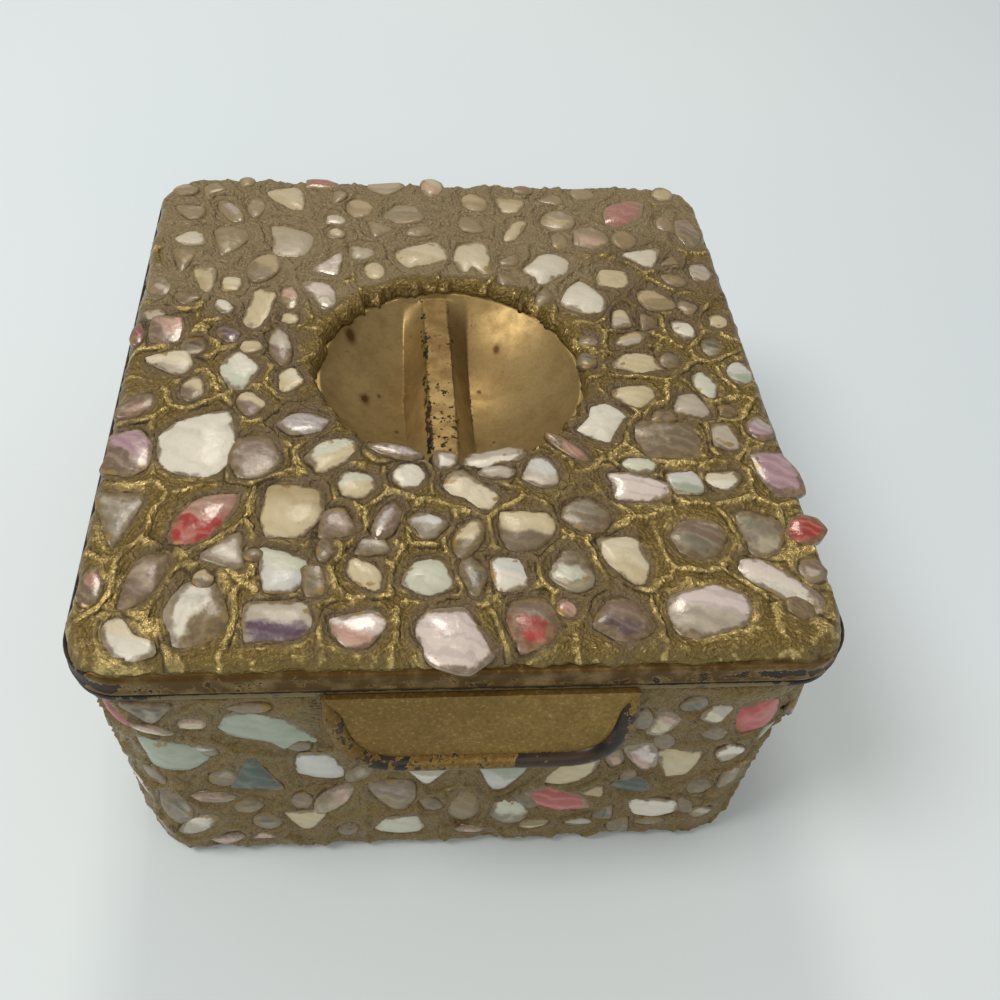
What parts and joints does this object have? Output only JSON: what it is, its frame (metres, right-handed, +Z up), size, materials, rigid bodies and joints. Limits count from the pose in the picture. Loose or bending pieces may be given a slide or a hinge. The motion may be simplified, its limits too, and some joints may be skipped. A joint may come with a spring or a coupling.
{
  "type": "shell-encrusted jewelry box",
  "caption": "Square tin box with a lift-off lid, gold-painted putty set with broken shell on lid and sides, a finger dish with a ridge in the lid and a front thumb tab.",
  "frame": {"origin": "middle of the flat underside, on the surface that the box stands on", "axes": "+Z up, the front with the thumb tab faces -Y, the finger ridge in the lid runs along Y"},
  "size_m": [0.106, 0.1178, 0.0573],
  "materials": {
    "japanned_tin": "worn black japan on pressed tinplate",
    "gold_painted_tin": "aged gold paint, rubbed through at edges",
    "gold_putty": "wrinkled gold-painted putty with dirt in its creases",
    "shell_white": "polished broken shell, white",
    "shell_cream": "polished broken shell, cream",
    "shell_pearl": "polished broken shell, pearl",
    "shell_lilac": "polished broken shell, lilac",
    "shell_rose": "polished broken shell, rose",
    "shell_red": "polished broken shell, red",
    "shell_magenta": "polished broken shell, magenta",
    "shell_purple": "polished broken shell, purple",
    "shell_smoke": "polished broken shell, smoke",
    "shell_pale_blue": "polished broken shell, pale blue",
    "shell_teal": "polished broken shell, teal",
    "shell_tan": "polished broken shell, tan"
  },
  "bodies": {
    "root": {"tin_body": "japanned_tin", "tin_lid": "gold_painted_tin", "front_tab": "gold_painted_tin", "body_putty": "gold_putty", "lid_putty": "gold_putty", "lid_chip_white_large": "shell_white", "lid_chip_red_left": "shell_red", "lid_chip_cream_square": "shell_cream", "lid_chip_rosy_white_front": "shell_pearl", "lid_chip_pearl_front": "shell_pearl", "lid_chip_pearl_stick": "shell_pearl", "lid_chip_red_right": "shell_red", "lid_chip_lilac_right": "shell_lilac", "lid_chip_magenta_back": "shell_magenta", "lid_chip_purple_front": "shell_purple", "lid_chip_purple_middle": "shell_purple", "lid_chip_redbrown_front": "shell_red", "lid_chip_white_corner": "shell_white", "lid_chip_white_oval": "shell_white", "lid_chip_mauve_left": "shell_smoke", "lid_chip_white_spot": "shell_white", "lid_chip_rose_front": "shell_rose", "lid_chip_pale_half": "shell_white", "lid_chip_cream_tooth": "shell_cream", "lid_chip_smoke_pair": "shell_smoke", "lid_chip_white_star": "shell_white", "lid_chip_rosy_white": "shell_pearl", "lid_chip_smoke_broad": "shell_smoke", "lid_chip_cream_five": "shell_cream", "lid_chip_grey_white": "shell_white", "lid_chip_pearl_left": "shell_lilac", "lid_chip_lilac_rim": "shell_lilac", "lid_chip_white_drop": "shell_white", "lid_chip_white_wedge": "shell_white", "lid_chip_cream_legs": "shell_cream", "lid_chip_cream_back": "shell_cream", "lid_chip_cream_tall": "shell_cream", "lid_chip_pale_wedge": "shell_white", "lid_chip_white_west": "shell_white", "lid_chip_rosy_bump_back": "shell_pearl", "front_chip_pale_large": "shell_pale_blue", "front_chip_pale_left": "shell_pale_blue", "front_chip_teal_wedge": "shell_teal", "front_chip_blue_white": "shell_pale_blue", "front_chip_white_wedge": "shell_white", "front_chip_blue_lilac": "shell_pale_blue", "front_chip_cream_pair": "shell_cream", "front_chip_red_long": "shell_red", "front_chip_white_low": "shell_white", "front_chip_teal_oval": "shell_teal", "front_chip_cream_right": "shell_cream", "front_chip_rosy_slant": "shell_pearl", "front_chip_coral_corner": "shell_red", "front_chip_red_corner": "shell_red", "front_chip_white_foot": "shell_white", "front_chip_grey_leaf": "shell_smoke", "front_chip_cream_foot": "shell_cream", "front_chip_tan_tall": "shell_tan"}
  },
  "joints": []
}
